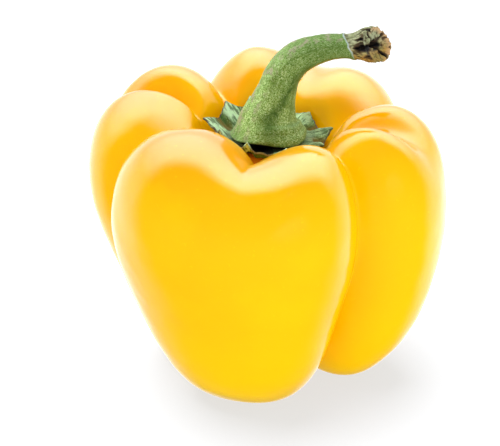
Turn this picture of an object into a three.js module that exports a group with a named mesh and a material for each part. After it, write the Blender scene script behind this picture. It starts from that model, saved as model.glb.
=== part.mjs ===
// A yellow bell pepper: the four-lobed fruit, the toothed calyx in its hollow and the bent stem.
// Lengths are millimetres, angles are degrees and +Z is up. The four lobe tips stand on z = 0.
// An azimuth turns round the fruit's core, from the front (-Y) through the right side (+X).

import * as THREE from 'three';
import { NURBSCurve } from 'three/addons/curves/NURBSCurve.js';

// Driving dimensions of the fruit. A meridian is a cubic spline that starts in the middle of the
// underside, turns over a lobe's tip, climbs its belly and shoulder, drops into the hollow and ends
// on the knob in its middle. Each station gives its control point as [radius, height] on a lobe's
// crest and in a groove, and the shares that it takes of the departures listed with the lobes,
// grooves and creases below.
const stations = [
  { crest: [0, 10], groove: [0, 10] },
  { crest: [6, 8], groove: [5, 9] },
  { crest: [11, 1.5], groove: [9, 9] },
  { crest: [17, -1.2], groove: [13, 9], tip: 1 },
  { crest: [28, 0], groove: [22, 9], tip: 1, deep: 0.5, low: 0.8 },
  { crest: [36, 13], groove: [29, 19], flank: 1, deep: 1, low: 1 },
  { crest: [41.5, 30], groove: [34, 32], flank: 1, deep: 1, low: 0.8 },
  { crest: [46.5, 48], groove: [36.5, 45], belly: 1, deep: 1, low: 0.2, pinch: 1.5 },
  { crest: [44, 66], groove: [33, 60], belly: 1, rise: 1, deep: 1, pinch: 4, sink: 3 },
  {
    crest: [33, 75], groove: [26, 65], shoulder: 1, rise: 1, deep: 0.5, pinch: 3, sink: 8, fold: 0.3,
  },
  { crest: [19, 70], groove: [19.5, 62], rise: 1, pinch: 1, sink: 6, fold: 1 },
  { crest: [17.5, 63], groove: [17, 58.5], sink: 1, fold: 0.6 },
  { crest: [14.8, 56.5], groove: [13.8, 55.5] },
  { crest: [11, 55.5], groove: [11, 55.5] },
  { crest: [9.6, 60.2], groove: [9.6, 60.2] },
  { crest: [5, 60], groove: [5, 60] },
  { crest: [0, 60], groove: [0, 60] },
];
// The share of a meridian past which it lies inside the hollow.
const hollowStart = 0.56;

// The grooves that part the lobes: how much deeper each one is than the groove meridian.
const grooves = [
  { azimuth: 40, deep: 2, low: 3 },
  { azimuth: 108, deep: 0, low: 1 },
  { azimuth: 208, deep: -6, low: -2 },
  { azimuth: 288, deep: -3, low: 0 },
];

// The lobe that follows each groove: how far its crest stands out at the tip, flank, belly and
// shoulder, how much higher it is, how far its shoulder leans, and the shallow crease down it.
const lobes = [
  {
    tip: -0.5, flank: 2, belly: -1.5, shoulder: -1, rise: -2, lean: -1,
    crease: { azimuth: 70, width: 9, pinch: 0, sink: 0.7 },
  },
  {
    tip: 0, flank: 0, belly: -0.5, shoulder: -2, rise: 2, lean: 4.5,
    crease: { azimuth: 160, width: 20, pinch: 0, sink: 0.9 },
  },
  {
    tip: 0, flank: -3, belly: 0, shoulder: -1.5, rise: -0.5, lean: -3,
    crease: { azimuth: 248, width: 6, pinch: 0, sink: 0.8 },
  },
  {
    tip: -0.5, flank: 0, belly: 3, shoulder: 1.5, rise: 1, lean: 0.5,
    crease: { azimuth: 356, width: 20, pinch: 0.4, sink: 0.9 },
  },
];
// The sharp fold in the front lobe's shoulder, where it turns down into the hollow.
const fold = { azimuth: 351, width: 6, depth: 4, sharpness: 1.2 };
const lobeFullness = 3;
const grooveSoftness = 0.08;
const fruitGrid = { round: 90, along: 46 };

// Driving dimensions of the calyx: a thin collar on the knob, under the stem's foot, pleated from
// its teeth inwards. A tooth gives how far it reaches past the rim, how much higher its point is,
// and the angle over which it spreads to each side.
const calyx = {
  clearance: 0.3,
  seatHeight: 61.2,
  seatRadius: 10.2,
  seatShift: 0.6,
  rimRadius: 13.4,
  rimNarrow: 1.2,
  rimNarrowAzimuth: 340,
  rimHeight: 63,
  rimLean: 1.8,
  rimLeanAzimuth: 262,
  sheet: 0.9,
  cupping: 1.25,
  teeth: [
    { azimuth: 20, spread: 18, length: 1.2, lift: 0 },
    { azimuth: 60, spread: 22, length: 2.2, lift: 0.4 },
    { azimuth: 100, spread: 18, length: 2.2, lift: 0.6 },
    { azimuth: 140, spread: 20, length: 2, lift: -0.1 },
    { azimuth: 170, spread: 14, length: 1.6, lift: 0.2 },
    { azimuth: 195, spread: 14, length: 2.2, lift: 1.4 },
    { azimuth: 220, spread: 20, length: 2.2, lift: 0.7 },
    { azimuth: 265, spread: 22, length: 2.6, lift: 0.3 },
    { azimuth: 300, spread: 15, length: 0.9, lift: 0.9 },
    { azimuth: 335, spread: 10, length: 0.2, lift: 0.6 },
  ],
  pleat: 1.1,
  pleatReach: 0.8,
  grid: { round: 72, outward: [-0.6, -0.3, 0, 0.25, 0.5, 0.75, 1] },
};

// Driving dimensions of the stem. Each station gives a point of its middle line and the radius.
const stem = {
  clearance: 0.3,
  stations: [
    { at: [0.5, -0.6, 61.5], radius: 8.8 },
    { at: [0.5, -0.6, 62.4], radius: 9.6 },
    { at: [0.4, -0.5, 64], radius: 8.5 },
    { at: [0.4, -0.2, 66.3], radius: 6.9 },
    { at: [1.1, 0, 69.2], radius: 5.6 },
    { at: [2.1, 0, 72.8], radius: 4.8 },
    { at: [3.6, 0, 77.3], radius: 4.35 },
    { at: [7, 0, 81.4], radius: 4.1 },
    { at: [12.6, -0.3, 84], radius: 3.4 },
    { at: [17.6, -1, 84.8], radius: 2.95 },
    { at: [20.8, -1.8, 85.2], radius: 3.3 },
    { at: [23.5, -2.6, 85.8], radius: 4.1 },
    { at: [25.6, -3.4, 86.2], radius: 4.3 },
  ],
  ribs: 5,
  ribHeight: 0.03,
  cutSlant: 0.42,
  slantStart: 0.85,
  startRing: 0.5,
  face: [
    { share: 0.85, depth: 0.1 },
    { share: 0.6, depth: 0.45 },
    { share: 0.34, depth: 0.6 },
    { share: 0.22, depth: 1.8 },
  ],
  pithDepth: 2.6,
  grid: { round: 24, along: 38 },
};

const looks = {
  fruit: { color: 0xfec903, roughness: 0.3 },
  calyx: { color: 0x6f8f4a, roughness: 0.6 },
  stem: { color: 0x7f9f58, roughness: 0.65 },
};

const degrees = Math.PI / 180;

// The angle brought into the turn that starts at a given angle.
function withinTurn(angle, start) {
  return start + THREE.MathUtils.euclideanModulo(angle - start, 360);
}

// A point at a radius, azimuth and height round the fruit's core.
function polarPoint(radius, azimuth, height) {
  const angle = azimuth * degrees;
  return new THREE.Vector3(radius * Math.sin(angle), -radius * Math.cos(angle), height);
}

// A closed body through rings of equal length, with a pole at each end. A ring's points run
// anticlockwise when seen from the last pole.
function skin(firstPole, rings, lastPole) {
  const round = rings[0].length;
  const positions = [firstPole, ...rings.flat(), lastPole].flatMap((point) => point.toArray());
  const last = 1 + rings.length * round;
  const indices = [];
  const vertex = (ring, step) => 1 + ring * round + (step % round);
  for (let step = 0; step < round; step += 1) {
    indices.push(0, vertex(0, step + 1), vertex(0, step));
    indices.push(last, vertex(rings.length - 1, step), vertex(rings.length - 1, step + 1));
    for (let ring = 0; ring + 1 < rings.length; ring += 1) {
      const corners = [vertex(ring, step), vertex(ring, step + 1)];
      const above = [vertex(ring + 1, step), vertex(ring + 1, step + 1)];
      indices.push(corners[0], corners[1], above[1]);
      indices.push(corners[0], above[1], above[0]);
    }
  }
  const geometry = new THREE.BufferGeometry();
  geometry.setAttribute('position', new THREE.Float32BufferAttribute(positions, 3));
  geometry.setIndex(indices);
  geometry.computeVertexNormals();
  return geometry;
}

function namedMesh(name, geometry) {
  const material = new THREE.MeshStandardMaterial({ ...looks[name], metalness: 0 });
  const mesh = new THREE.Mesh(geometry, material);
  mesh.name = name;
  return mesh;
}

// Where an azimuth lies: its lobe, the grooves on both sides, and how far across the lobe it is,
// from -1 in the groove before to 1 in the groove after.
function placeOnLobe(azimuth) {
  const turned = withinTurn(azimuth, grooves[0].azimuth);
  const index = grooves.findLastIndex((groove) => groove.azimuth <= turned);
  const before = grooves[index];
  const after = grooves[(index + 1) % grooves.length];
  const width = withinTurn(after.azimuth, before.azimuth) - before.azimuth;
  const across = (2 * (turned - before.azimuth)) / width - 1;
  return { lobe: lobes[index], before, after, across };
}

// How far a lobe's section stands out: 0 in its grooves and 1 on its crest, with a rounded groove.
function lobeBulge(across) {
  const bulge = 1 - Math.abs(across) ** lobeFullness;
  const soft = Math.hypot(bulge, grooveSoftness) - grooveSoftness;
  return soft / (Math.hypot(1, grooveSoftness) - grooveSoftness);
}

// How strongly the creases act at an azimuth: the inward and downward pull of the lobes' creases,
// and the depth of the fold.
function creasePull(azimuth) {
  const foldAway = Math.abs(withinTurn(azimuth - fold.azimuth, -180)) / fold.width;
  const pull = { pinch: 0, sink: 0, fold: fold.depth * Math.exp(-(foldAway ** fold.sharpness)) };
  for (const { crease } of lobes) {
    const away = withinTurn(azimuth - crease.azimuth, -180);
    const strength = Math.exp(-((away / crease.width) ** 2));
    pull.pinch += crease.pinch * strength;
    pull.sink += crease.sink * strength;
  }
  return pull;
}

// What a station takes of every departure that it doesn't name.
const noShares = {
  tip: 0, flank: 0, belly: 0, shoulder: 0, rise: 0, deep: 0, low: 0, pinch: 0, sink: 0, fold: 0,
};

// The fruit's meridian at an azimuth, as a curve of [radius, height].
function fruitMeridian(azimuth) {
  const { lobe, before, after, across } = placeOnLobe(azimuth);
  const bulge = lobeBulge(across);
  const pull = creasePull(azimuth);
  const deep = THREE.MathUtils.lerp(before.deep, after.deep, (1 + across) / 2);
  const low = THREE.MathUtils.lerp(before.low, after.low, (1 + across) / 2);
  const control = stations.map((station) => {
    const share = { ...noShares, ...station };
    const standOut = share.tip * lobe.tip + share.flank * lobe.flank
      + share.belly * lobe.belly + share.shoulder * lobe.shoulder;
    const crestRadius = station.crest[0] + standOut;
    const crestHeight = station.crest[1] + share.rise * (lobe.rise + lobe.lean * across);
    const grooveRadius = station.groove[0] - share.deep * deep - share.low * low;
    const radius = THREE.MathUtils.lerp(grooveRadius, crestRadius, bulge) - share.pinch * pull.pinch;
    const drop = share.sink * pull.sink + share.fold * pull.fold;
    const height = THREE.MathUtils.lerp(station.groove[1], crestHeight, bulge) - drop;
    return new THREE.Vector4(radius, height, 0, 1);
  });
  const spans = control.length - 3;
  const inner = Array.from({ length: spans + 1 }, (_, knot) => knot / spans);
  return new NURBSCurve(3, [0, 0, 0, ...inner, 1, 1, 1], control);
}

// The height of the hollow's wall, floor or knob at a radius, found by halving the meridian's part
// inside the hollow.
const halvings = 20;

function hollowHeight(meridian, radius) {
  let outer = hollowStart;
  let inner = 1;
  for (let halving = 0; halving < halvings; halving += 1) {
    const middle = (outer + inner) / 2;
    if (meridian.getPoint(middle).x > radius) {
      outer = middle;
    } else {
      inner = middle;
    }
  }
  return meridian.getPoint(inner).y;
}

function makeFruit() {
  const { round, along } = fruitGrid;
  const step = 360 / round;
  // The grid starts on a groove, and each of the four grooves lies on one of its lines.
  const azimuths = Array.from({ length: round }, (_, index) => grooves[0].azimuth + index * step);
  const meridians = azimuths.map(fruitMeridian);
  const rings = [];
  for (let ring = 1; ring < along; ring += 1) {
    rings.push(meridians.map((meridian, index) => {
      const point = meridian.getPoint(ring / along);
      return polarPoint(point.x, azimuths[index], Math.max(point.y, 0));
    }));
  }
  const bottom = new THREE.Vector3(0, 0, stations[0].crest[1]);
  const top = new THREE.Vector3(0, 0, stations.at(-1).crest[1]);
  return namedMesh('fruit', skin(bottom, rings, top));
}

// What the teeth add to the rim's radius and height at an azimuth, and how near the closest tooth's
// rib is, from 0 to 1.
function teethAt(azimuth) {
  const sum = { length: 0, lift: 0, rib: 0 };
  for (const tooth of calyx.teeth) {
    const away = Math.abs(withinTurn(azimuth - tooth.azimuth, -180));
    const near = Math.max(0, 1 - away / tooth.spread);
    sum.rib = Math.max(sum.rib, near);
    sum.length += tooth.length * near ** 2;
    sum.lift += tooth.lift * near ** 2;
  }
  return sum;
}

// The calyx at an azimuth: its rim, and its upper and lower surface at a share of the rim's radius.
function calyxSection(azimuth) {
  const meridian = fruitMeridian(azimuth);
  const teeth = teethAt(azimuth);
  const angle = azimuth * degrees;
  const narrow = calyx.rimNarrow * Math.cos(angle - calyx.rimNarrowAzimuth * degrees);
  const seatRadius = calyx.seatRadius + calyx.seatShift * Math.sin(angle);
  const rimWidth = calyx.rimRadius - narrow + teeth.length - seatRadius;
  const lean = calyx.rimLean * Math.cos(angle - calyx.rimLeanAzimuth * degrees);
  const rimRise = calyx.rimHeight + lean + teeth.lift - calyx.seatHeight;

  // The share runs from -1 at the core through 0 at the seat's edge to 1 at the rim.
  return function surfaces(share) {
    const out = Math.max(0, share);
    const radius = seatRadius * (1 + Math.min(0, share)) + rimWidth * out;
    const pleat = calyx.pleat * (2 * teeth.rib - 1) * Math.sin(calyx.pleatReach * Math.PI * out);
    const floor = hollowHeight(meridian, radius) + calyx.clearance;
    const wanted = calyx.seatHeight + rimRise * out ** calyx.cupping + pleat;
    const upper = Math.max(wanted, floor + calyx.sheet);
    return { radius, upper, lower: Math.max(floor, upper - calyx.sheet) };
  };
}

function makeCalyx() {
  const { round, outward } = calyx.grid;
  const azimuths = Array.from({ length: round }, (_, index) => (index * 360) / round);
  const sections = azimuths.map(calyxSection);
  const ring = (share, side) => sections.map((surfaces, index) => {
    const at = surfaces(share);
    return polarPoint(at.radius, azimuths[index], at[side]);
  });
  const inward = [...outward].reverse();
  const rings = [
    ...outward.map((share) => ring(share, 'lower')),
    ...inward.map((share) => ring(share, 'upper')),
  ];
  const bottom = new THREE.Vector3(0, 0, stations.at(-1).crest[1] + calyx.clearance);
  const top = new THREE.Vector3(0, 0, calyx.seatHeight);
  return namedMesh('calyx', skin(bottom, rings, top));
}

function makeStem() {
  const { round, along } = stem.grid;
  const middle = new THREE.CatmullRomCurve3(stem.stations.map(({ at }) => new THREE.Vector3(...at)));
  const radii = new THREE.SplineCurve(
    stem.stations.map(({ radius }, index) => new THREE.Vector2(index, radius)),
  );
  const floor = calyx.seatHeight + stem.clearance;

  function ringAt(share, scale, depth) {
    const centre = middle.getPoint(share);
    const forward = middle.getTangent(share);
    const side = new THREE.Vector3(0, 1, 0).addScaledVector(forward, -forward.y).normalize();
    const radius = radii.getPoint(share).y * scale;
    const slant = stem.cutSlant * THREE.MathUtils.smoothstep(share, stem.slantStart, 1);
    return Array.from({ length: round }, (_, index) => {
      const turn = (2 * Math.PI * index) / round;
      const rib = 1 + stem.ribHeight * Math.cos(stem.ribs * turn);
      const away = side.clone().applyAxisAngle(forward, turn).multiplyScalar(radius * rib);
      const point = centre.clone().add(away);
      point.addScaledVector(forward, slant * away.y - depth);
      point.z = Math.max(point.z, floor);
      return point;
    });
  }

  const rings = [ringAt(0, stem.startRing, 0)];
  for (let step = 0; step <= along; step += 1) {
    rings.push(ringAt(step / along, 1, 0));
  }
  for (const { share, depth } of stem.face) {
    rings.push(ringAt(1, share, depth));
  }
  const [footX, footY] = stem.stations[0].at;
  const foot = new THREE.Vector3(footX, footY, floor);
  const end = middle.getPoint(1).addScaledVector(middle.getTangent(1), -stem.pithDepth);
  return namedMesh('stem', skin(foot, rings, end));
}

const pepper = new THREE.Group();
pepper.add(makeFruit(), makeCalyx(), makeStem());

// The origin lies on the floor under the middle of the pepper's box.
const centre = new THREE.Box3().setFromObject(pepper).getCenter(new THREE.Vector3());
pepper.position.set(-centre.x, -centre.y, 0);

export default pepper;
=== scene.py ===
# Yellow bell pepper: fine fruit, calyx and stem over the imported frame, in soft studio light.
import math
import bpy
import numpy as np
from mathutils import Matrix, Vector, noise


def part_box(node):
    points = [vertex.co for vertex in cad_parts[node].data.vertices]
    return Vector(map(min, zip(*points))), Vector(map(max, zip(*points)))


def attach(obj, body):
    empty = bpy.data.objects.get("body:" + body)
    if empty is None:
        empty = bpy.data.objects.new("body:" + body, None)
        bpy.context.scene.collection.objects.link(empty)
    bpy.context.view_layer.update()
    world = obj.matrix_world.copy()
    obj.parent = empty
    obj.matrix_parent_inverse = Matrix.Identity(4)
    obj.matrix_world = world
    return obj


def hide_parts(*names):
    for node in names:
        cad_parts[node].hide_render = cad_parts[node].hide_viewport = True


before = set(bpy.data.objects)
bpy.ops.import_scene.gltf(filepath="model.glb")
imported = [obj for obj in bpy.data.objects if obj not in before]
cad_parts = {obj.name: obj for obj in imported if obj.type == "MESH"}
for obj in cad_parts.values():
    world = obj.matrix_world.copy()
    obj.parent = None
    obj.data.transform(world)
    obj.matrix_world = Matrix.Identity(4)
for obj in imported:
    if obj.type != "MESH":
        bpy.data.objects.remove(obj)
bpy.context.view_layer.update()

mm = 0.001


# Small helpers for shapes
def smoothStep(low, high, value):
    share = np.clip((value - low) / (high - low), 0, 1)
    return share * share * (3 - 2 * share)


def mix(first, second, share):
    return first + (second - first) * share


def splineWeights(count, samples):
    # weights of a cubic spline's control points, one row for each sample from 0 to 1
    degree = 3
    inner = np.linspace(0, 1, count - degree + 1)
    knots = np.concatenate([np.zeros(degree), inner, np.ones(degree)])
    at = np.clip(np.asarray(samples, float), 0, 1 - 1e-9)
    weights = ((at[:, None] >= knots[:-1]) & (at[:, None] < knots[1:])).astype(float)
    for step in range(1, degree + 1):
        grown = np.zeros((len(at), len(knots) - step - 1))
        for i in range(grown.shape[1]):
            before = knots[i + step] - knots[i]
            after = knots[i + step + 1] - knots[i + 1]
            if before > 0:
                grown[:, i] += (at - knots[i]) / before * weights[:, i]
            if after > 0:
                grown[:, i] += (knots[i + step + 1] - at) / after * weights[:, i + 1]
        weights = grown
    return weights


def curveThrough(points, samples):
    # a smooth curve through the points; a sample runs from 0 at the first to 1 at the last
    points = np.asarray(points, float)
    gaps = np.sqrt(np.linalg.norm(np.diff(points[:, :3], axis=0), axis=1))[:, None]
    steps = np.diff(points, axis=0)
    slopes = np.empty_like(points)
    slopes[0] = steps[0] / gaps[0]
    slopes[-1] = steps[-1] / gaps[-1]
    across = (points[2:] - points[:-2]) / (gaps[:-1] + gaps[1:])
    slopes[1:-1] = steps[:-1] / gaps[:-1] - across + steps[1:] / gaps[1:]
    place = np.clip(samples, 0, 1) * (len(points) - 1)
    i = np.minimum(place.astype(int), len(points) - 2)
    t = (place - i)[:, None]
    start, end, gap = points[i], points[i + 1], gaps[i]
    return ((2 * t**3 - 3 * t**2 + 1) * start + (t**3 - 2 * t**2 + t) * gap * slopes[i]
            + (3 * t**2 - 2 * t**3) * end + (t**3 - t**2) * gap * slopes[i + 1])


def noiseOver(points, size, octaves, shift):
    # smooth noise from about -1 to 1 at points in mm; size is the width of its lumps in mm, and
    # each further octave is half as wide and half as strong
    flat = points.reshape(-1, 3) / size + shift
    values = [noise.fractal(p, 1.0, 2.0, octaves) for p in flat.tolist()]
    return np.array(values).reshape(points.shape[:-1])


def reliefOver(points, relief):
    # noise as deep as a relief says, which holds a depth, a size in mm, octaves and a shift
    return relief["depth"] * noiseOver(points, relief["size"], relief["octaves"], relief["shift"])


def bell(away, width):
    # 1 where away is 0, and almost 0 from twice the width on
    return np.exp(-(away / width) ** 2)


def surfaceNormals(rings):
    # rings[ring, step] of points, closed round the second axis
    around = np.roll(rings, -1, 1) - np.roll(rings, 1, 1)
    along = np.gradient(rings, axis=0)
    normals = np.cross(around, along)
    return normals / (np.linalg.norm(normals, axis=-1, keepdims=True) + 1e-9)


def skinMesh(name, rings, firstPole, lastPole, marks):
    # a closed mesh through rings of points in mm with a pole at each end; marks are named values
    # at the rings' points that the materials read
    ringCount, stepCount = rings.shape[:2]
    points = np.concatenate([[firstPole], rings.reshape(-1, 3), [lastPole]]) * mm
    index = 1 + np.arange(ringCount * stepCount).reshape(ringCount, stepCount)
    beside = np.roll(index, -1, 1)
    quads = np.stack([index[:-1], beside[:-1], beside[1:], index[1:]], -1).reshape(-1, 4)
    last = len(points) - 1
    faces = quads.tolist()
    faces += [(0, b, a) for a, b in zip(index[0].tolist(), beside[0].tolist())]
    faces += [(last, a, b) for a, b in zip(index[-1].tolist(), beside[-1].tolist())]
    mesh = bpy.data.meshes.new(name)
    mesh.from_pydata(points.tolist(), [], faces)
    for mark, values in marks.items():
        layer = mesh.attributes.new(mark, "FLOAT", "POINT")
        full = np.concatenate([[values[0].mean()], values.reshape(-1), [values[-1].mean()]])
        layer.data.foreach_set("value", full.astype(np.float32))
    mesh.polygons.foreach_set("use_smooth", [True] * len(mesh.polygons))
    mesh.update()
    piece = bpy.data.objects.new(name, mesh)
    bpy.context.scene.collection.objects.link(piece)
    return piece


# Small helpers for materials
def newMaterial(name):
    material = bpy.data.materials.new(name)
    material.use_nodes = True
    return material, material.node_tree


def addNode(tree, kind, inputs=None, **settings):
    node = tree.nodes.new(kind)
    for key, value in settings.items():
        setattr(node, key, value)
    for key, value in (inputs or {}).items():
        if isinstance(value, bpy.types.NodeSocket):
            tree.links.new(value, node.inputs[key])
        else:
            node.inputs[key].default_value = value
    return node


def photoColour(red, green, blue):
    # a colour as it shows on screen, from 0 to 255, turned into the renderer's own scale
    def linear(value):
        value /= 255
        return value / 12.92 if value <= 0.04045 else ((value + 0.055) / 1.055) ** 2.4
    return (linear(red), linear(green), linear(blue), 1)


def placeSocket(tree):
    return addNode(tree, "ShaderNodeTexCoord").outputs["Object"]


def markSocket(tree, mark):
    return addNode(tree, "ShaderNodeAttribute", attribute_name=mark).outputs["Fac"]


def noiseSocket(tree, place, size, detail=2, roughness=0.5):
    node = addNode(tree, "ShaderNodeTexNoise",
                   {"Vector": place, "Scale": 1 / (size * mm), "Detail": detail, "Roughness": roughness})
    return node.outputs["Fac"]


def rampSocket(tree, value, stops):
    node = addNode(tree, "ShaderNodeValToRGB", {"Fac": value})
    elements = node.color_ramp.elements
    while len(elements) < len(stops):
        elements.new(0.5)
    for element, (position, colour) in zip(elements, stops):
        element.position = position
        element.color = colour
    return node.outputs["Color"]


def rangeSocket(tree, value, low, high, newLow=0.0, newHigh=1.0):
    node = addNode(tree, "ShaderNodeMapRange",
                   {"Value": value, "From Min": low, "From Max": high,
                    "To Min": newLow, "To Max": newHigh})
    return node.outputs["Result"]


def markRange(tree, mark, limits):
    return rangeSocket(tree, markSocket(tree, mark), *limits)


def noiseRange(tree, place, size, limits, detail=2, roughness=0.5):
    return rangeSocket(tree, noiseSocket(tree, place, size, detail, roughness), *limits)


def mathSocket(tree, operation, first, second):
    node = addNode(tree, "ShaderNodeMath", {0: first, 1: second}, operation=operation)
    return node.outputs[0]


def timesSocket(tree, first, second):
    return mathSocket(tree, "MULTIPLY", first, second)


def joinSocket(tree, marks):
    parts = {i: markSocket(tree, mark) for i, mark in enumerate(marks)}
    return addNode(tree, "ShaderNodeCombineXYZ", parts).outputs[0]


def stretchSocket(tree, place, stretch):
    node = addNode(tree, "ShaderNodeVectorMath", {0: place, 1: stretch}, operation="MULTIPLY")
    return node.outputs[0]


def mixSocket(tree, share, first, second):
    node = addNode(tree, "ShaderNodeMix", {0: share, 6: first, 7: second}, data_type="RGBA")
    return node.outputs[2]


def bumpSocket(tree, height, depth, strength, under=None):
    node = addNode(tree, "ShaderNodeBump",
                   {"Height": height, "Distance": depth * mm, "Strength": strength})
    if under is not None:
        tree.links.new(under, node.inputs["Normal"])
    return node.outputs["Normal"]


def setShader(tree, values):
    shader = tree.nodes["Principled BSDF"]
    for key, value in values.items():
        if isinstance(value, bpy.types.NodeSocket):
            tree.links.new(value, shader.inputs[key])
        else:
            shader.inputs[key].default_value = value


# The fruit: a meridian runs from the middle of the underside over a lobe's tip, belly and
# shoulder into the hollow, and up the knob that carries the calyx. A station holds the radius and
# height in mm on a crest and in a groove, and its shares of the departures listed below it.
fruit = {
    "round": 360,
    "along": 270,
    "stations": [
        {"crest": (0, 10), "groove": (0, 10)},
        {"crest": (6, 8), "groove": (5, 9)},
        {"crest": (11, 1.5), "groove": (9, 9)},
        {"crest": (17, -1.2), "groove": (13, 9), "tip": 1},
        {"crest": (28, 0), "groove": (22, 9), "tip": 1, "deep": 0.5, "low": 0.8},
        {"crest": (36, 13), "groove": (29, 19), "flank": 1, "deep": 1, "low": 1},
        {"crest": (41.5, 30), "groove": (34, 32), "flank": 1, "deep": 1, "low": 0.8},
        {"crest": (46.5, 48), "groove": (36.5, 45), "belly": 1, "deep": 1, "low": 0.2, "pinch": 1.5},
        {"crest": (44, 66), "groove": (33, 60), "belly": 1, "rise": 1, "deep": 1, "pinch": 4,
         "sink": 3},
        {"crest": (33, 75), "groove": (26, 65), "shoulder": 1, "rise": 1, "deep": 0.5,
         "pinch": 3, "sink": 8, "fold": 0.3},
        {"crest": (19, 70), "groove": (19.5, 62), "rise": 1, "pinch": 1, "sink": 6, "fold": 1},
        {"crest": (17.5, 63), "groove": (17, 58.5), "sink": 1, "fold": 0.6},
        {"crest": (14.8, 56.5), "groove": (13.8, 55.5)},
        {"crest": (11, 55.5), "groove": (11, 55.5)},
        {"crest": (9.6, 60.2), "groove": (9.6, 60.2)},
        {"crest": (5, 60), "groove": (5, 60)},
        {"crest": (0, 60), "groove": (0, 60)},
    ],
    "hollowStart": 0.56,              # share of the meridian where it turns into the hollow
    "hollowSteps": 200,
    "grooves": [
        {"azimuth": 40, "deep": 2, "low": 3},
        {"azimuth": 108, "deep": 0, "low": 1},
        {"azimuth": 208, "deep": -6, "low": -2},
        {"azimuth": 288, "deep": -3, "low": 0},
    ],
    "lobes": [
        {"tip": -0.5, "flank": 2, "belly": -1.5, "shoulder": -1, "rise": -2, "lean": -1,
         "crease": {"azimuth": 70, "width": 9, "pinch": 0, "sink": 0.7}},
        {"tip": 0, "flank": 0, "belly": -0.5, "shoulder": -2, "rise": 2, "lean": 4.5,
         "crease": {"azimuth": 160, "width": 20, "pinch": 0, "sink": 0.9}},
        {"tip": 0, "flank": -3, "belly": 0, "shoulder": -1.5, "rise": -0.5, "lean": -3,
         "crease": {"azimuth": 248, "width": 6, "pinch": 0, "sink": 0.8}},
        {"tip": -0.5, "flank": 0, "belly": 3, "shoulder": 1.5, "rise": 1, "lean": 0.5,
         "crease": {"azimuth": 356, "width": 20, "pinch": 0.4, "sink": 0.9}},
    ],
    "fold": {"azimuth": 351, "width": 6, "depth": 4, "sharpness": 1.2},
    "fullness": 3,                    # how flat a lobe's middle is
    "softness": 0.08,                 # how round the bottom of a groove is
    "tipRounding": 0.35,
    "unevenness": {"depth": 0.22, "size": 16, "octaves": 3, "shift": 0},
    "dimples": {"depth": 0.03, "size": 4, "octaves": 2, "shift": 7.3},
    "evenBelow": (0.5, 6),            # heights in mm between which the unevenness sets in
    "evenInside": (0.85, 0.75),       # shares of the meridian between which it sets in
    "grooveShares": (0.12, 0.28),     # and those between which each mark sets in
    "hollowShares": (0.6, 0.7),
    "knobShares": (0.81, 0.9),
}


def placeOnLobe(azimuth):
    # the lobe, its two grooves, and how far across the lobe the azimuth is, from -1 to 1
    grooves = fruit["grooves"]
    first = grooves[0]["azimuth"]
    turned = first + (azimuth - first) % 360
    i = max(k for k, groove in enumerate(grooves) if groove["azimuth"] <= turned)
    before, after = grooves[i], grooves[(i + 1) % len(grooves)]
    width = (after["azimuth"] - before["azimuth"]) % 360
    return fruit["lobes"][i], before, after, 2 * (turned - before["azimuth"]) / width - 1


def lobeBulge(across):
    soft = fruit["softness"]
    bulge = 1 - abs(across) ** fruit["fullness"]
    return (math.hypot(bulge, soft) - soft) / (math.hypot(1, soft) - soft)


def awayFrom(azimuth, middle):
    return (azimuth - middle + 180) % 360 - 180


def creasePull(azimuth):
    pinch = sink = 0
    for lobe in fruit["lobes"]:
        crease = lobe["crease"]
        strength = bell(awayFrom(azimuth, crease["azimuth"]), crease["width"])
        pinch += crease["pinch"] * strength
        sink += crease["sink"] * strength
    fold = fruit["fold"]
    away = abs(awayFrom(azimuth, fold["azimuth"])) / fold["width"]
    return pinch, sink, fold["depth"] * math.exp(-(away ** fold["sharpness"]))


def meridianControl(azimuth):
    lobe, before, after, across = placeOnLobe(azimuth)
    bulge = lobeBulge(across)
    pinch, sink, fold = creasePull(azimuth)
    deep = mix(before["deep"], after["deep"], (1 + across) / 2)
    low = mix(before["low"], after["low"], (1 + across) / 2)
    rise = lobe["rise"] + lobe["lean"] * across
    control = []
    for station in fruit["stations"]:
        standOut = sum(station.get(key, 0) * lobe[key] for key in ("tip", "flank", "belly", "shoulder"))
        crestRadius = station["crest"][0] + standOut
        crestHeight = station["crest"][1] + station.get("rise", 0) * rise
        grooveRadius = station["groove"][0] - station.get("deep", 0) * deep - station.get("low", 0) * low
        radius = mix(grooveRadius, crestRadius, bulge) - station.get("pinch", 0) * pinch
        height = mix(station["groove"][1], crestHeight, bulge)
        height -= station.get("sink", 0) * sink + station.get("fold", 0) * fold
        control.append((radius, height))
    return control


def polar(radius, azimuth, height):
    angle = np.radians(azimuth)
    return np.stack([radius * np.sin(angle), -radius * np.cos(angle), height + 0 * radius], -1)


def liftFloor(heights):
    # the tips flatten softly where they touch the surface
    soft = fruit["tipRounding"]
    lifted = (heights + np.sqrt(heights * heights + soft * soft)) / 2
    return lifted - lifted.min()


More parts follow.
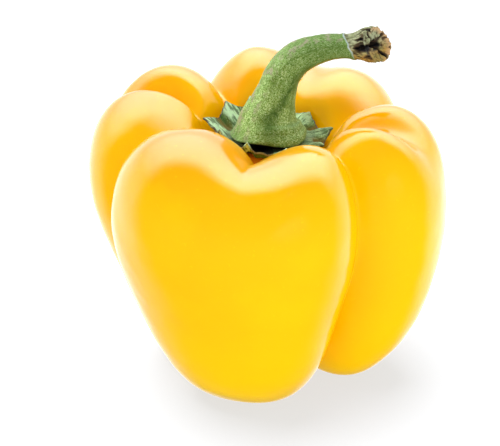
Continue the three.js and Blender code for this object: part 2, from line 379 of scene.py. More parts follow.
def makeFruit():
    azimuths = np.arange(fruit["round"]) * 360 / fruit["round"]
    controls = np.array([meridianControl(a) for a in azimuths])
    shares = np.arange(1, fruit["along"]) / fruit["along"]
    weights = splineWeights(len(fruit["stations"]), shares)
    radius = np.einsum("sk,ak->sa", weights, controls[..., 0])
    height = liftFloor(np.einsum("sk,ak->sa", weights, controls[..., 1]))
    rings = polar(radius, azimuths[None, :] + 0 * radius, height)
    normals = surfaceNormals(rings)
    free = smoothStep(*fruit["evenBelow"], height) * smoothStep(*fruit["evenInside"], shares)[:, None]
    relief = reliefOver(rings, fruit["unevenness"]) + reliefOver(rings, fruit["dimples"])
    rings = rings + normals * free[..., None] * relief[..., None]
    bulge = np.array([lobeBulge(placeOnLobe(a)[3]) for a in azimuths])[None, :] + 0 * radius
    # the groove, hollow and knob marks place the skin's painted light and shade
    marks = {
        "groove": (1 - bulge) * smoothStep(*fruit["grooveShares"], shares)[:, None],
        "hollow": smoothStep(*fruit["hollowShares"], shares)[:, None] + 0 * radius,
        "knob": smoothStep(*fruit["knobShares"], shares)[:, None] + 0 * radius,
        "rise": height / height.max(),
    }
    top = (0, 0, fruit["stations"][-1]["crest"][1])
    bottom = (0, 0, fruit["stations"][0]["crest"][1])
    return skinMesh("fruitBody", rings, bottom, top, marks)


def hollowHeights(azimuths, radii):
    # the height of the hollow's wall, floor or knob at each azimuth and radius, in mm
    shares = np.linspace(fruit["hollowStart"], 1, fruit["hollowSteps"])
    weights = splineWeights(len(fruit["stations"]), shares)
    heights = np.empty_like(radii)
    for k, azimuth in enumerate(azimuths):
        line = weights @ np.array(meridianControl(azimuth))
        order = np.argsort(line[:, 0])
        heights[:, k] = np.interp(radii[:, k], line[order, 0], line[order, 1])
    return heights


# The calyx: a thin collar on the knob, under the stem's foot. It is pleated from its teeth inwards
# and leans up on the left. A tooth holds how far it reaches past the rim, how much higher its
# point is, and how much the very point curls up, in mm; its spread is in degrees.
calyx = {
    "round": 480,
    "clearance": 0.3,
    "seatHeight": 61.2,
    "seatRadius": 10.2,
    "seatShift": 0.6,
    "seatShadeAzimuth": 345,
    "rimRadius": 13.4,
    "rimNarrow": 1.2,
    "rimNarrowAzimuth": 340,
    "rimHeight": 63.0,
    "rimLean": 1.8,
    "rimLeanAzimuth": 262,
    "sheet": 0.55,
    "cupping": 1.25,
    "teeth": [
        {"azimuth": 20, "spread": 18, "length": 1.2, "lift": 0, "curl": 0},
        {"azimuth": 60, "spread": 22, "length": 2.2, "lift": 0.4, "curl": 0},
        {"azimuth": 100, "spread": 18, "length": 2.2, "lift": 0, "curl": 0.6},
        {"azimuth": 140, "spread": 20, "length": 2.0, "lift": -0.3, "curl": 0.2},
        {"azimuth": 170, "spread": 14, "length": 1.6, "lift": 0.2, "curl": 0},
        {"azimuth": 195, "spread": 14, "length": 2.2, "lift": 0.6, "curl": 0.8},
        {"azimuth": 220, "spread": 20, "length": 2.2, "lift": 0.3, "curl": 0.4},
        {"azimuth": 265, "spread": 22, "length": 2.6, "lift": -0.2, "curl": 0.5},
        {"azimuth": 300, "spread": 15, "length": 0.9, "lift": 0.5, "curl": 0.4},
        {"azimuth": 336, "spread": 7, "length": 0.2, "lift": 0, "curl": 0.4},
    ],
    "pleat": 1.3,
    "pleatReach": 0.8,
    "pleatWander": {"depth": 5, "size": 5, "octaves": 2, "shift": 8.8},     # its depth is in degrees
    "veins": {"depth": 0.2, "size": 1.1, "octaves": 2, "shift": 1.9},
    "veinSpread": 18,
    "veinStretch": 0.25,
    "veinStart": 0.3,
    "wrinkles": {"depth": 0.2, "size": 1.6, "octaves": 3, "shift": 5.7},
    "wrinkleStart": 0.4,
    "ragged": {"depth": 0.2, "size": 1.4, "octaves": 3, "shift": 3.1},
    "raggedRadius": 14.0,
    "curlStart": 0.6,
    "edgeStart": 0.9,
    "seatShadeShares": (0.3, 0.1),
    "seatShadeLeast": 0.3,
    "seatShares": [-0.9, -0.7, -0.5, -0.3, -0.15, -0.05],
    "outSteps": 60,
    "roundings": (0.15, 0.5, 0.85),
}


def toothNear(tooth, azimuths):
    # 1 at the middle of the tooth, and 0 from its spread on
    return np.clip(1 - np.abs(awayFrom(azimuths, tooth["azimuth"])) / tooth["spread"], 0, 1)


def toothSum(key, azimuths):
    # what all the teeth add to the rim at each azimuth
    return sum(tooth[key] * toothNear(tooth, azimuths) ** 2 for tooth in calyx["teeth"])


def ribNear(azimuths):
    # how near the closest rib is, from 0 to 1
    return np.max([toothNear(tooth, azimuths) for tooth in calyx["teeth"]], axis=0)


def makeCalyx():
    azimuths = np.arange(calyx["round"]) * 360 / calyx["round"]
    angle = np.radians(azimuths)
    circle = polar(np.full(len(azimuths), calyx["raggedRadius"]), azimuths, 0.0)
    narrow = calyx["rimNarrow"] * np.cos(angle - math.radians(calyx["rimNarrowAzimuth"]))
    rimRadius = calyx["rimRadius"] - narrow + toothSum("length", azimuths)
    rimRadius = rimRadius + reliefOver(circle, calyx["ragged"])
    lean = calyx["rimLean"] * np.cos(angle - math.radians(calyx["rimLeanAzimuth"]))
    rimRise = calyx["rimHeight"] + lean + toothSum("lift", azimuths) - calyx["seatHeight"]
    seatRadius = calyx["seatRadius"] + calyx["seatShift"] * np.sin(angle)

    # shares below 0 lie on the seat, and those from 0 to 1 run out to the rim
    shares = np.concatenate([calyx["seatShares"], np.linspace(0, 1, calyx["outSteps"])])[:, None]
    out = np.clip(shares, 0, 1)
    radius = seatRadius * (1 + np.minimum(0, shares)) + (rimRadius - seatRadius) * out
    floor = hollowHeights(azimuths, radius) + calyx["clearance"]
    place = polar(radius, azimuths[None, :] + 0 * radius, 0.0)
    rib = ribNear(azimuths[None, :] + reliefOver(place, calyx["pleatWander"]) * (1 - out))
    pleat = calyx["pleat"] * (2 * rib - 1) * np.sin(calyx["pleatReach"] * math.pi * out)
    radial = np.stack([calyx["veinSpread"] * np.sin(angle) + 0 * radius,
                       calyx["veinSpread"] * np.cos(angle) + 0 * radius,
                       calyx["veinStretch"] * radius], -1)
    veins = reliefOver(radial, calyx["veins"]) * smoothStep(0, calyx["veinStart"], out)
    wrinkles = reliefOver(place, calyx["wrinkles"]) * smoothStep(0, calyx["wrinkleStart"], out)
    curl = toothSum("curl", azimuths) * smoothStep(calyx["curlStart"], 1, out)
    wanted = calyx["seatHeight"] + rimRise * out ** calyx["cupping"] + pleat + veins + wrinkles + curl
    upper = np.maximum(wanted, floor + calyx["sheet"])
    lower = np.maximum(floor, upper - calyx["sheet"])

    # the rim is rounded by a few rings between the two faces
    roundings = np.array(calyx["roundings"])[:, None]
    edgeRadius = radius[-1] + 0.5 * calyx["sheet"] * np.sqrt(1 - (2 * roundings - 1) ** 2)
    edgeHeight = mix(lower[-1], upper[-1], roundings)
    allRadius = np.concatenate([radius, edgeRadius, radius[::-1]])
    allHeight = np.concatenate([lower, edgeHeight, upper[::-1]])
    rings = polar(allRadius, azimuths[None, :] + 0 * allRadius, allHeight)

    def overBothFaces(face, rim):
        return np.concatenate([face, rim + 0 * edgeHeight, face[::-1]])

    none = np.zeros_like(radius)
    front = np.cos(angle - math.radians(calyx["seatShadeAzimuth"])).clip(0, 1)
    # left leads the painted light on the calyx's folds
    left = 0.5 - 0.5 * np.sin(angle)
    # seat: painted shade, black round the stem's foot, most at the front
    seat = smoothStep(*calyx["seatShadeShares"], out) * mix(calyx["seatShadeLeast"], 1, front**2)
    marks = {
        "edge": overBothFaces(smoothStep(calyx["edgeStart"], 1, out) + none, 1),
        "upper": np.concatenate([none, 1 + 0 * edgeHeight, none + 1]),
        "rib": overBothFaces(rib + none, rib[-1]),
        "out": overBothFaces(out + none, 1),
        "turn": overBothFaces(azimuths / 360 + none, azimuths / 360),
        "left": overBothFaces(left + none, left),
        "height": overBothFaces(pleat + veins + wrinkles, 0),
        "seat": overBothFaces(seat, 0),
        "front": overBothFaces(front + none, front),
    }
    bottom = (0, 0, fruit["stations"][-1]["crest"][1] + calyx["clearance"])
    return skinMesh("calyxCollar", rings, bottom, (0, 0, calyx["seatHeight"]), marks)


# The stem: stations hold the middle line's point and the radius, in mm. The green skin ends in a
# slanted sleeve, and what stands out of it is dry and wrinkled up to the cut.
stem = {
    "round": 240,
    "along": 390,
    "clearance": 0.3,
    "stations": [
        (0.5, -0.6, 61.5, 8.8),
        (0.5, -0.6, 62.4, 9.6),
        (0.4, -0.5, 64.0, 8.5),
        (0.4, -0.2, 66.3, 7.15),
        (1.1, 0, 69.2, 5.8),
        (2.1, 0, 72.8, 4.8),
        (3.6, 0, 77.3, 4.35),
        (7.0, 0, 81.4, 4.1),
        (12.6, -0.3, 84.0, 3.4),
        (17.6, -1, 84.8, 2.95),
        (20.8, -1.8, 85.2, 3.3),
        (23.5, -2.6, 85.8, 4.1),
        (25.6, -3.4, 86.2, 4.3),
    ],
    "ribs": 5,
    "ribHeight": 0.03,
    "ribFade": (1, 0.8),
    "footTaper": {"turn": 312, "width": 50, "depth": 1.2, "heights": (66, 62.4)},
    "footLift": {"turn": 158, "width": 34, "rise": 1.1, "heights": (67, 62)},
    "cutSlant": 0.42,
    "cutTip": 0.34,
    "cutStart": 0.85,
    "sleeveStart": 19.5,
    "sleeveSlant": 1.45,
    "sleeveRagged": {"depth": 0.25, "size": 1.5, "octaves": 2, "shift": 5.2},
    "sleeveFade": (-0.1, 0.15),
    "lip": {"place": -0.35, "width": 0.6, "height": 0.2, "drop": 0.28, "reach": 2.5},
    "ridges": {"depth": 2, "size": 0.8, "octaves": 2, "shift": 2.2},
    "ridgeRing": 4,
    "ridgeStretch": 0.22,
    "ridgeMiddle": 0.6,
    "ridgeDepth": 0.42,
    "dryLumps": {"depth": 0.35, "size": 2.6, "octaves": 2, "shift": 3.3},
    "dryLumpsFade": (1, 5),
    "grain": {"depth": 0.05, "size": 0.9, "octaves": 3, "shift": 9.1},
    "unevenness": {"depth": 0.14, "size": 5, "octaves": 2, "shift": 4.4},
    "furrowWander": {"depth": 14, "size": 3.5, "octaves": 2, "shift": 7.7},     # its depth is in degrees
    "furrowFade": 1.8,
    "furrows": [{"turn": 168, "width": 19, "start": 0.1, "depth": 0.75},
                {"turn": 305, "width": 9, "start": 2.5, "depth": 0.4},
                {"turn": 100, "width": 8, "start": 3.2, "depth": 0.7},
                {"turn": 215, "width": 5, "start": 0.8, "depth": 0.35},
                {"turn": 132, "width": 5, "start": 0.8, "depth": 0.35},
                {"turn": 40, "width": 9, "start": 1.5, "depth": 0.35}],
    "streak": {"turns": (178, 216), "shares": (0.28, 0.52), "width": 15, "fade": 0.2},
    "underShadeHeights": (62.3, 62.0),
    "underShares": (0.4, 0.8),
    "face": [(0.94, -0.1), (0.88, 0.05), (0.8, 0.3), (0.7, 0.42), (0.6, 0.45), (0.5, 0.45), (0.4, 0.5),
             (0.33, 0.6), (0.27, 1.0), (0.23, 1.8), (0.18, 2.4), (0.1, 2.6)],
    "faceRough": {"depth": 0.45, "size": 0.9, "octaves": 3, "shift": 6.6},
    "faceRoughGain": 3,
    "pithEnd": 2.65,
    "crackShares": {"from": (0.15, 0.4), "to": (1.0, 0.8)},
    "cracks": [{"turn": 285, "width": 9, "depth": 0.9}, {"turn": 175, "width": 20, "depth": 1.0},
               {"turn": 95, "width": 7, "depth": 0.6}, {"turn": 20, "width": 6, "depth": 0.3}],
}


def makeStem():
    shares = np.linspace(0, 1, stem["along"] + 1)
    line = curveThrough(stem["stations"], shares)
    middle, radius = line[:, :3], line[:, 3]
    forward = np.gradient(middle, axis=0)
    forward /= np.linalg.norm(forward, axis=1, keepdims=True)
    side = np.array([0.0, 1.0, 0.0]) - forward * forward[:, 1:2]
    side /= np.linalg.norm(side, axis=1, keepdims=True)
    over = np.cross(forward, side)
    turns = np.arange(stem["round"]) * 2 * math.pi / stem["round"]
    degrees = np.degrees(turns)
    floor = calyx["seatHeight"] + stem["clearance"]

    out = side[:, None] * np.cos(turns)[None, :, None] + over[:, None] * np.sin(turns)[None, :, None]
    rib = stem["ribHeight"] * np.cos(stem["ribs"] * turns) * smoothStep(*stem["ribFade"], shares)[:, None]
    taper = stem["footTaper"]
    tapered = bell(awayFrom(degrees, taper["turn"]), taper["width"])
    tapered = taper["depth"] * tapered * smoothStep(*taper["heights"], middle[:, 2])[:, None]
    size = radius[:, None] * (1 + rib) - tapered
    body = middle[:, None] + out * size[..., None]
    nearCut = smoothStep(stem["cutStart"], 1, shares)[:, None]
    slant = stem["cutSlant"] * out[..., 1] - stem["cutTip"] * out[..., 2]
    body = body + forward[:, None] * (nearCut * slant * size)[..., None]

    lift = stem["footLift"]
    lifted = bell(awayFrom(degrees, lift["turn"]), lift["width"])
    body[..., 2] += lift["rise"] * lifted * smoothStep(*lift["heights"], middle[:, 2])[:, None]

    # past is how many mm a point lies past the green skin's edge
    edge = stem["sleeveStart"] - stem["sleeveSlant"] * np.sin(turns)[None, :]
    past = body[..., 0] - edge + reliefOver(body, stem["sleeveRagged"])
    dry = smoothStep(*stem["sleeveFade"], past)
    lip = stem["lip"]
    lipRelief = lip["height"] * bell(past - lip["place"], lip["width"])
    lipRelief = lipRelief - lip["drop"] * dry * np.exp(-np.maximum(past, 0) / lip["reach"])
    lengthwise = np.stack([stem["ridgeRing"] * np.cos(turns)[None, :] + 0 * past,
                           stem["ridgeRing"] * np.sin(turns)[None, :] + 0 * past,
                           stem["ridgeStretch"] * past], -1)
    ridged = 1 - np.abs(reliefOver(lengthwise, stem["ridges"]))
    bend = degrees[None, :] + reliefOver(body, stem["furrowWander"])
    furrowed = sum(furrow["depth"] * bell(awayFrom(bend, furrow["turn"]), furrow["width"])
                   * smoothStep(furrow["start"], furrow["start"] + stem["furrowFade"], past)
                   for furrow in stem["furrows"])
    carved = stem["ridgeDepth"] * dry * (ridged - stem["ridgeMiddle"]) - furrowed
    lumps = dry * smoothStep(*stem["dryLumpsFade"], past) * reliefOver(body, stem["dryLumps"])
    grain = reliefOver(body, stem["grain"]) + reliefOver(body, stem["unevenness"])
    body = body + out * (lipRelief + carved + lumps + grain)[..., None]
    body[..., 2] = np.maximum(body[..., 2], floor)

    streak = stem["streak"]
    first, last = streak["shares"]
    course = mix(*streak["turns"], smoothStep(first, last, shares)[:, None])
    fadeIn = smoothStep(first - streak["fade"], first, shares)
    fadeOut = smoothStep(last + streak["fade"], last, shares)
    streaked = bell(awayFrom(degrees[None, :], course), streak["width"]) * (fadeIn * fadeOut)[:, None]
    # under: painted shade, black under the stem's foot
    under = smoothStep(*stem["underShadeHeights"], middle[:, 2])[:, None]

    # the face of the cut, from its rim inwards, and the rings under the foot
    rim = body[-1]
    centre = rim.mean(0)
    cracks = sum(crack["depth"] * bell(awayFrom(degrees, crack["turn"]), crack["width"])
                 for crack in stem["cracks"])
    faceRings, faceCarved = [], []
    for share, depth in stem["face"]:
        flat = mix(centre, rim, share)
        rough = reliefOver(flat[None], stem["faceRough"])[0] * min(1, stem["faceRoughGain"] * share)
        cracked = cracks
        for limits in stem["crackShares"].values():
            cracked = cracked * smoothStep(*limits, share)
        sunk = depth + rough + cracked
        faceRings.append(flat - forward[-1] * sunk[:, None])
        faceCarved.append(depth - sunk)
    foot = np.array([*stem["stations"][0][:2], floor])
    startRings = np.stack([mix(foot, body[0], share) for share in stem["underShares"]])
    startRings[..., 2] = floor
    rings = np.concatenate([startRings, body, np.stack(faceRings)])

    def overAll(before, values, after):
        # a mark's values on the rings under the foot, on the body and on the face
        start = np.full((len(startRings), stem["round"]), float(before))
        face = np.array(after, float).reshape(len(faceRings), -1) + np.zeros((1, stem["round"]))
        return np.concatenate([start, values + 0 * dry, face])

    ones = np.ones(len(faceRings))
    faceShares = [share for share, _ in stem["face"]]
    farBehind = -60
    marks = {
        "dry": overAll(0, dry, ones),
        "past": overAll(farBehind, past, ones * past[-1].mean()),
        "face": overAll(0, 0, ones),
        "inward": overAll(1, 1, faceShares),
        "along": overAll(0, shares[:, None], ones),
        "back": overAll(0, np.cos(turns)[None, :], np.outer(ones, np.cos(turns))),
        "top": overAll(0, np.sin(turns)[None, :], np.outer(faceShares, np.sin(turns))),
        "carved": overAll(0, carved, faceCarved),
        "streak": overAll(0, streaked, 0 * ones),
        "under": overAll(1, under, 0 * ones),
    }
    end = centre - forward[-1] * stem["pithEnd"]
    return skinMesh("stemStalk", rings, foot, end, marks)


# Skin of the fruit: waxy yellow with faint pale flecks, with painted light and shade: darker and more
# orange towards the top, a set colour that lifts the shaded hollow and grooves, and brown-orange shade on
# the knob under the calyx.
# Here and below, sizes and depths are in mm, and a range holds the two values that it runs between
# and then what they turn into, which is 0 and 1 where it doesn't say.
fruitLook = {
    # painted shade: the skin turns darker and more orange towards the top, standing in for how the light
    # falls
    "heights": [(0.08, photoColour(254, 202, 0)), (0.4, photoColour(252, 186, 0)),
                (0.7, photoColour(249, 183, 0)), (0.86, photoColour(246, 173, 0)),
                (0.98, photoColour(242, 154, 0))],
    "paler": photoColour(252, 196, 0),
    # painted light: one set colour for the hollow, brighter than its shade would leave it, also mixed
    # half into the grooves
    "hollow": photoColour(254, 190, 0),
    # painted shade: brown-orange on the knob under the calyx, where its shadow falls
    "knob": photoColour(206, 130, 16),
    "fleck": photoColour(249, 202, 12),
    "palerSize": 22,
    "palerRange": (0.45, 0.7, 0, 0.5),
    "grooveShare": 0.5,
    "fleckSize": 0.9,
    "fleckRange": (0.66, 0.74, 0, 0.35),
    "fineBump": {"size": 0.5, "depth": 0.02, "strength": 0.35},
    "softBump": {"size": 5, "depth": 0.25, "strength": 0.3},
    "roughRange": (0.3, 0.7, 0.45, 0.55),
    "subsurface": 0.12,
    "subsurfaceRadius": (0.003, 0.0015, 0.0002),
    "coat": 1.0,
    "coatRoughness": 0.16,
    "coatIndex": 1.4,
}


def fruitMaterial():
    material, tree = newMaterial("fruitSkin")
    place = placeSocket(tree)
    broad = noiseSocket(tree, place, fruitLook["palerSize"], 3)
    colour = rampSocket(tree, markSocket(tree, "rise"), fruitLook["heights"])
    paler = rangeSocket(tree, broad, *fruitLook["palerRange"])
    colour = mixSocket(tree, paler, colour, fruitLook["paler"])
    # painted light and shade in the grooves and the hollow
    groove = timesSocket(tree, markSocket(tree, "groove"), fruitLook["grooveShare"])
    hollow = mathSocket(tree, "MAXIMUM", markSocket(tree, "hollow"), groove)
    colour = mixSocket(tree, hollow, colour, fruitLook["hollow"])
    # painted shade on the knob under the calyx
    colour = mixSocket(tree, markSocket(tree, "knob"), colour, fruitLook["knob"])
    flecks = noiseRange(tree, place, fruitLook["fleckSize"], fruitLook["fleckRange"])
    colour = mixSocket(tree, flecks, colour, fruitLook["fleck"])
    normal = None
    for bump in (fruitLook["fineBump"], fruitLook["softBump"]):
        grain = noiseSocket(tree, place, bump["size"])
        normal = bumpSocket(tree, grain, bump["depth"], bump["strength"], normal)
    setShader(tree, {
        "Base Color": colour,
        "Roughness": rangeSocket(tree, broad, *fruitLook["roughRange"]),
        "Subsurface Weight": fruitLook["subsurface"],
        "Subsurface Radius": fruitLook["subsurfaceRadius"],
        "Subsurface Scale": 1.0,
        "Coat Weight": fruitLook["coat"],
        "Coat Roughness": fruitLook["coatRoughness"],
        "Coat IOR": fruitLook["coatIndex"],
        "Specular IOR Level": 0.0,
        "Normal": normal,
    })
    return material


# Green of the stem and calyx: a fine pale meal over sage green, with olive patches
greenLook = {
    "dark": photoColour(50, 82, 24),
    "mid": photoColour(118, 150, 72),
    "light": photoColour(170, 198, 132),
    "meal": photoColour(214, 228, 192),
    "olive": photoColour(74, 104, 24),
    "brown": photoColour(62, 46, 30),
    "black": photoColour(12, 11, 12),
    "stops": {"dark": 0.3, "mid": 0.46, "light": 0.62, "meal": 0.74},
    "oliveSize": 3,
    "oliveRange": (0.46, 0.7, 0, 0.5),
    "roughRange": (0.3, 0.7, 0.5, 0.78),
    "shine": 0.15,
    "subsurface": 0.05,
    "subsurfaceRadius": (0.0006, 0.001, 0.0003),
}


def sageGreen(tree, place, mealPlace, mealSize):
    # the green under both materials, and the fine speckle that also gives their bump
    speckle = noiseSocket(tree, mealPlace, mealSize, 2, 0.6)
    stops = [(position, greenLook[name]) for name, position in greenLook["stops"].items()]
    colour = rampSocket(tree, speckle, stops)
    patches = noiseRange(tree, place, greenLook["oliveSize"], greenLook["oliveRange"], 3)
    return mixSocket(tree, patches, colour, greenLook["olive"]), speckle


def leafShader(tree, colour, speckle, normal):
    setShader(tree, {
        "Base Color": colour,
        "Roughness": rangeSocket(tree, speckle, *greenLook["roughRange"]),
        "Specular IOR Level": greenLook["shine"],
        "Subsurface Weight": greenLook["subsurface"],
        "Subsurface Radius": greenLook["subsurfaceRadius"],
        "Subsurface Scale": 1.0,
        "Normal": normal,
    })


# The calyx: dark veins and a worn purple rim, with painted light, pale green on the raised folds and more
# on the left, and painted shade, dark green in the low pleats, brown in the bowls between the teeth and
# black round the stem's foot
calyxLook = {
    "litMint": photoColour(216, 250, 206),
    "cupShade": photoColour(122, 96, 34),
    "purple": photoColour(66, 42, 52),
    "mealSize": 0.34,
    "mealBump": {"depth": 0.12, "strength": 0.5},
    "litMintHeights": (-0.4, 0.5),
    "litMintLeft": (0.2, 0.7, 0.4, 1),
    "veinStretch": (90 * mm, 2 * mm, 1),     # turns the marks round and out into a place in metres
    "veinSize": 1.0,
    "veinRange": (0.48, 0.6, 0, 0.8),
    "lowShadeHeights": (-0.1, -0.7, 0, 0.85),
    "cupShadeRibs": (0.55, 0.15, 0, 0.85),
    "cupShadeSize": 7,
    "cupShadeRange": (0.42, 0.5),
    "wornSize": 2,
    "wornRange": (0.4, 0.55, 0.3, 1),
    "wornFront": (0.9, 0.6, 0.2, 1),
    "wornEdge": (0.7, 1.0, 0, 0.9),
}


def calyxMaterial():
    material, tree = newMaterial("calyxSkin")
    place = placeSocket(tree)
    look = calyxLook
    colour, speckle = sageGreen(tree, place, place, look["mealSize"])
    # painted light: pale green on the raised folds, stronger on the left where the light falls
    litMint = timesSocket(tree, markRange(tree, "height", look["litMintHeights"]),
                       markRange(tree, "left", look["litMintLeft"]))
    colour = mixSocket(tree, litMint, colour, look["litMint"])
    fanned = stretchSocket(tree, joinSocket(tree, ("turn", "out")), look["veinStretch"])
    veins = noiseRange(tree, fanned, look["veinSize"], look["veinRange"], 3)
    colour = mixSocket(tree, veins, colour, greenLook["dark"])
    # painted shade: dark green in the low pleats
    colour = mixSocket(tree, markRange(tree, "height", look["lowShadeHeights"]), colour, greenLook["dark"])
    # painted shade: brown in the shaded bowls between the teeth, on the upper face
    cupShadeMask = timesSocket(tree, markRange(tree, "rib", look["cupShadeRibs"]),
                       noiseRange(tree, place, look["cupShadeSize"], look["cupShadeRange"], 1))
    cupShadeMask = timesSocket(tree, cupShadeMask, markSocket(tree, "upper"))
    colour = mixSocket(tree, cupShadeMask, colour, look["cupShade"])
    worn = timesSocket(tree, noiseRange(tree, place, look["wornSize"], look["wornRange"]),
                       markRange(tree, "front", look["wornFront"]))
    worn = timesSocket(tree, markRange(tree, "edge", look["wornEdge"]), worn)
    colour = mixSocket(tree, worn, colour, look["purple"])
    # painted shade: black round the stem's foot
    colour = mixSocket(tree, markSocket(tree, "seat"), colour, greenLook["black"])
    bump = look["mealBump"]
    leafShader(tree, colour, speckle, bumpSocket(tree, speckle, bump["depth"], bump["strength"]))
    return material


# The dry end: dry tones with brown grain and a tan rim on the cut, with painted light, silver on top and
# golden below, and painted shade, dark in every wrinkle and crack and black in the pith hole
dryLook = {
    "silver": photoColour(160, 166, 130),
    "gold": photoColour(168, 132, 62),
    "green": photoColour(122, 128, 78),
    "tan": photoColour(204, 164, 120),
    "grainSize": 0.7,
    "grainRange": (0.52, 0.38, 0, 0.55),
    "litSilverTop": (-0.5, 0.4),
    "patchSize": 2.2,
    "patchRange": (0.45, 0.65, 0, 0.6),
    "rimShares": (0.7, 0.95),
    "rimBack": (-0.2, 0.5),
    "pithShadeShares": (0.4, 0.3),
    "wrinkleShadeDepths": (-0.04, -0.22, 0, 0.9),
    "crackShadeDepths": (-0.26, -0.5),
}


def dryColour(tree, place):
    look = dryLook
    grain = noiseSocket(tree, place, look["grainSize"], 3, 0.6)
    # painted light: silver on the top side, golden on the underside
    colour = mixSocket(tree, markRange(tree, "top", look["litSilverTop"]), look["gold"], look["silver"])
    patches = noiseRange(tree, place, look["patchSize"], look["patchRange"])
    colour = mixSocket(tree, patches, colour, look["green"])
    colour = mixSocket(tree, rangeSocket(tree, grain, *look["grainRange"]), colour, greenLook["brown"])
    rim = timesSocket(tree, markRange(tree, "inward", look["rimShares"]),
                      markRange(tree, "back", look["rimBack"]))
    rim = timesSocket(tree, rim, markSocket(tree, "face"))
    colour = mixSocket(tree, rim, colour, look["tan"])
    # painted shade: black in the sunken pith hole, then brown in the wrinkles and black in the cracks by
    # how deep they are carved
    colour = mixSocket(tree, markRange(tree, "inward", look["pithShadeShares"]), colour, greenLook["black"])
    colour = mixSocket(tree, markRange(tree, "carved", look["wrinkleShadeDepths"]), colour, greenLook["brown"])
    colour = mixSocket(tree, markRange(tree, "carved", look["crackShadeDepths"]), colour, greenLook["black"])
    return colour, grain


# The stem: olive bands, a dark streak, brown scuffs on top and a pale lip where the skin ends, with a
# painted golden bounce of light on the underside and painted shade, black, under the foot
stemLook = {
    "scuff": photoColour(146, 134, 118),
    "lip": photoColour(190, 204, 208),
    "warmBounce": photoColour(206, 168, 62),
    "mealStretch": (4.6 * mm, 4.6 * mm, 32 * mm),     # turns the marks into a place in metres
    "mealSize": 0.22,
    "mealBump": {"depth": 0.12, "strength": 0.45},
    "grainBump": {"depth": 0.15, "strength": 0.3},
    "bandSize": 400,     # over the unstretched marks, so in thousandths of them
    "bandRange": (0.5, 0.66, 0, 0.5),
    "streakSize": 0.8,
    "streakRange": (0.35, 0.6, 0.95, 0.5),
    "darkAlong": (0.4, 0.7, 0, 0.5),
    "scuffTop": (0.4, 0.8),
    "scuffSize": 2.5,
    "scuffRange": (0.52, 0.6, 0, 0.7),
    "lipBefore": (-0.45, -0.1, 0, 0.8),
    "lipAfter": (0.15, 0.0),
    "lipTop": (-0.7, 0.1),
    "warmBounceTop": (-0.6, -1, 0, 0.6),
    "warmBounceAlong": (0.5, 0.65),
}


def stemMaterial():
    material, tree = newMaterial("stemSkin")
    place = placeSocket(tree)
    look = stemLook
    turned = joinSocket(tree, ("back", "top", "along"))
    stretched = stretchSocket(tree, turned, look["mealStretch"])
    colour, speckle = sageGreen(tree, place, stretched, look["mealSize"])
    bands = noiseRange(tree, turned, look["bandSize"], look["bandRange"], 3)
    colour = mixSocket(tree, bands, colour, greenLook["olive"])
    streak = timesSocket(tree, markSocket(tree, "streak"),
                         noiseRange(tree, stretched, look["streakSize"], look["streakRange"]))
    colour = mixSocket(tree, streak, colour, greenLook["dark"])
    colour = mixSocket(tree, markRange(tree, "along", look["darkAlong"]), colour, greenLook["dark"])
    # painted shade: black under the stem's foot
    colour = mixSocket(tree, markSocket(tree, "under"), colour, greenLook["black"])
    scuffs = timesSocket(tree, markRange(tree, "top", look["scuffTop"]),
                         noiseRange(tree, place, look["scuffSize"], look["scuffRange"], 4, 0.7))
    colour = mixSocket(tree, scuffs, colour, look["scuff"])
    lip = timesSocket(tree, markRange(tree, "past", look["lipBefore"]),
                      markRange(tree, "past", look["lipAfter"]))
    lip = timesSocket(tree, lip, markRange(tree, "top", look["lipTop"]))
    colour = mixSocket(tree, lip, colour, look["lip"])
    # painted light: golden bounce from the fruit on the underside near the bend
    warmBounce = timesSocket(tree, markRange(tree, "top", look["warmBounceTop"]),
                       markRange(tree, "along", look["warmBounceAlong"]))
    colour = mixSocket(tree, warmBounce, colour, look["warmBounce"])
    dry, grain = dryColour(tree, place)
    colour = mixSocket(tree, markSocket(tree, "dry"), colour, dry)
    normal = None
    for height, bump in ((speckle, look["mealBump"]), (grain, look["grainBump"])):
        normal = bumpSocket(tree, height, bump["depth"], bump["strength"], normal)
    leafShader(tree, colour, speckle, normal)
    return material


# Camera: the photograph's frame is 500 by 446 pixels and has 4 pixels to a mm at the aim
camera = {
    "elevation": 25.3,
    "distance": 420,
    "pixelsPerMm": 4.0,
    "frameWidth": 500,
    "sensor": 36,
    "aim": (-4.3, 0, 38.0),
    "clip": (0.01, 20),
}


def makeCamera(core):
    data = bpy.data.cameras.new("camera")
    data.sensor_width = camera["sensor"]
    data.lens = camera["distance"] * camera["pixelsPerMm"] * camera["sensor"] / camera["frameWidth"]
    data.clip_start, data.clip_end = camera["clip"]
    eye = bpy.data.objects.new("camera", data)
    bpy.context.scene.collection.objects.link(eye)
    rise = math.radians(camera["elevation"])
    back = Vector((0, -math.cos(rise), math.sin(rise)))
    eye.location = core + (Vector(camera["aim"]) + back * camera["distance"]) * mm
    eye.rotation_mode = "QUATERNION"
    eye.rotation_quaternion = (-back).to_track_quat("-Z", "Y")
    bpy.context.scene.camera = eye


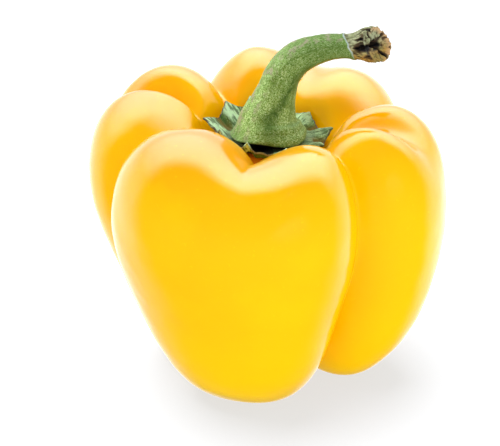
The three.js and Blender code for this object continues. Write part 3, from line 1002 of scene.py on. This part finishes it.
# Studio: a pale floor under even light. What the skin reflects is bright behind the pepper and
# dark in front of it, as in a light tent that is open towards the camera.
studio = {
    "floorSize": 6.0,
    "floorColour": (0.1, 0.105, 0.112, 1),
    "floorGlow": 0.7,
    "floorSun": 15,
    "floorSunFrom": (-0.2, 0.2, 1.0),
    "floorSunWidth": 60,
    "floorGrain": 1.5,
    "floorRough": (0, 1, 0.8, 0.95),
    "floorShine": 0.1,
    "floorBump": {"depth": 0.05, "strength": 0.2},
    "surround": 0.86,
    "tentDark": 0.03,
    "tentEdge": (-0.05, 0.3),               # along Y, from its dark front to its bright back
    "tentLean": 0.1,
    "tentRise": (0.3, 0.9, 1.9, 10.0),      # along Z, from its walls to its top
    "tentFoot": (-0.85, -0.45, 0.1, 1),     # along Z, from the dim foot of its walls up
    "lamps": {
        "rearLamp": {"from": (-0.45, 0.4, 0.85), "size": 0.45, "power": 2.7, "onGreens": False},
        "hollowLamp": {"from": (0.05, -0.2, 0.42), "size": 0.1, "power": 0.35, "onGreens": False},
        "frontLamp": {"from": (0.4, -0.85, 0.06), "size": 0.6, "power": 4.5, "onGreens": True},
    },
    "greenSun": 2.9,
    "greenSunFrom": (-0.85, 0.2, 0.35),
    "greenSunWidth": 25,
    "lampAim": (0, 0, 0.05),
}


def aim(lamp, start, target):
    lamp.location = start
    lamp.rotation_mode = "QUATERNION"
    lamp.rotation_quaternion = (target - Vector(start)).to_track_quat("-Z", "Y")


def lightOnly(lamp, lit):
    chosen = bpy.data.collections.new(lamp.name + "Lit")
    for thing in lit:
        chosen.objects.link(thing)
    lamp.light_linking.receiver_collection = chosen


def makeSun(name, lit):
    data = bpy.data.lights.new(name, "SUN")
    data.energy = studio[name]
    data.angle = math.radians(studio[name + "Width"])
    sun = bpy.data.objects.new(name, data)
    bpy.context.scene.collection.objects.link(sun)
    aim(sun, studio[name + "From"], Vector((0, 0, 0)))
    lightOnly(sun, lit)
    return sun


def makeFloor():
    bpy.ops.mesh.primitive_plane_add(size=studio["floorSize"])
    floor = bpy.context.object
    floor.name = "floor"
    material, tree = newMaterial("floorPaper")
    grain = noiseSocket(tree, placeSocket(tree), studio["floorGrain"])
    bump = studio["floorBump"]
    setShader(tree, {
        "Base Color": studio["floorColour"],
        "Roughness": rangeSocket(tree, grain, *studio["floorRough"]),
        "Specular IOR Level": studio["floorShine"],
        "Emission Color": (1, 1, 1, 1),
        "Emission Strength": studio["floorGlow"],
        "Normal": bumpSocket(tree, grain, bump["depth"], bump["strength"]),
    })
    floor.data.materials.append(material)
    floor.visible_glossy = False
    makeSun("floorSun", [floor])


def makeSurround():
    world = bpy.data.worlds.new("surround")
    bpy.context.scene.world = world
    world.use_nodes = True
    world.cycles.sampling_method = "NONE"     # no lamp is made of it, so only reflected rays see the tent
    tree = world.node_tree
    direction = addNode(tree, "ShaderNodeTexCoord").outputs["Generated"]
    axes = addNode(tree, "ShaderNodeSeparateXYZ", {"Vector": direction}).outputs
    lean = timesSocket(tree, mathSocket(tree, "MAXIMUM", axes["Z"], 0.0), studio["tentLean"])
    behind = rangeSocket(tree, mathSocket(tree, "ADD", axes["Y"], lean), *studio["tentEdge"])
    walls = timesSocket(tree, behind, rangeSocket(tree, axes["Z"], *studio["tentRise"]))
    walls = timesSocket(tree, walls, rangeSocket(tree, axes["Z"], *studio["tentFoot"]))
    reflected = mathSocket(tree, "ADD", walls, studio["tentDark"])
    isReflection = addNode(tree, "ShaderNodeLightPath").outputs["Is Glossy Ray"]
    strength = addNode(tree, "ShaderNodeMix", {0: isReflection, 2: studio["surround"], 3: reflected})
    background = tree.nodes["Background"].inputs
    tree.links.new(strength.outputs[0], background["Strength"])
    background["Color"].default_value = (1, 1, 1, 1)


def makeLamps(fruitBody, greens):
    # soft lamps for the object alone, which leave no glare on it and no shadow on the floor
    for name, values in studio["lamps"].items():
        data = bpy.data.lights.new(name, "AREA")
        data.shape = "DISK"
        data.size = values["size"]
        data.energy = values["power"]
        lamp = bpy.data.objects.new(name, data)
        bpy.context.scene.collection.objects.link(lamp)
        lamp.visible_glossy = False
        aim(lamp, values["from"], Vector(studio["lampAim"]))
        lightOnly(lamp, [fruitBody, *greens] if values["onGreens"] else [fruitBody])
    makeSun("greenSun", greens).visible_glossy = False


def makeStudio(fruitBody, greens):
    makeFloor()
    makeSurround()
    makeLamps(fruitBody, greens)
    bpy.context.scene.view_settings.view_transform = "Standard"


def boxMiddle(corners):
    return (corners[0] + corners[1]) / 2


print("making the fruit")
fruitBody = makeFruit()
points = np.array([vertex.co for vertex in fruitBody.data.vertices])
ownMiddle = boxMiddle((Vector(points.min(0)), Vector(points.max(0))))
core = boxMiddle(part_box("fruit")) - ownMiddle     # where the meridians' own axis stands in the frame
core.z = 0.0
print("making the calyx and the stem")
pieces = {
    "fruit": (fruitBody, fruitMaterial(), "fruit_skin"),
    "calyx": (makeCalyx(), calyxMaterial(), "calyx_skin"),
    "stem": (makeStem(), stemMaterial(), "stem_skin"),
}
for node, (piece, material, slot) in pieces.items():
    for vertex in piece.data.vertices:
        vertex.co += core
    piece.data.materials.append(material)
    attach(piece, "root")
    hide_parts(node)

print("setting the camera and the studio")
makeCamera(core)
makeStudio(fruitBody, [pieces["calyx"][0], pieces["stem"][0]])

print("done")
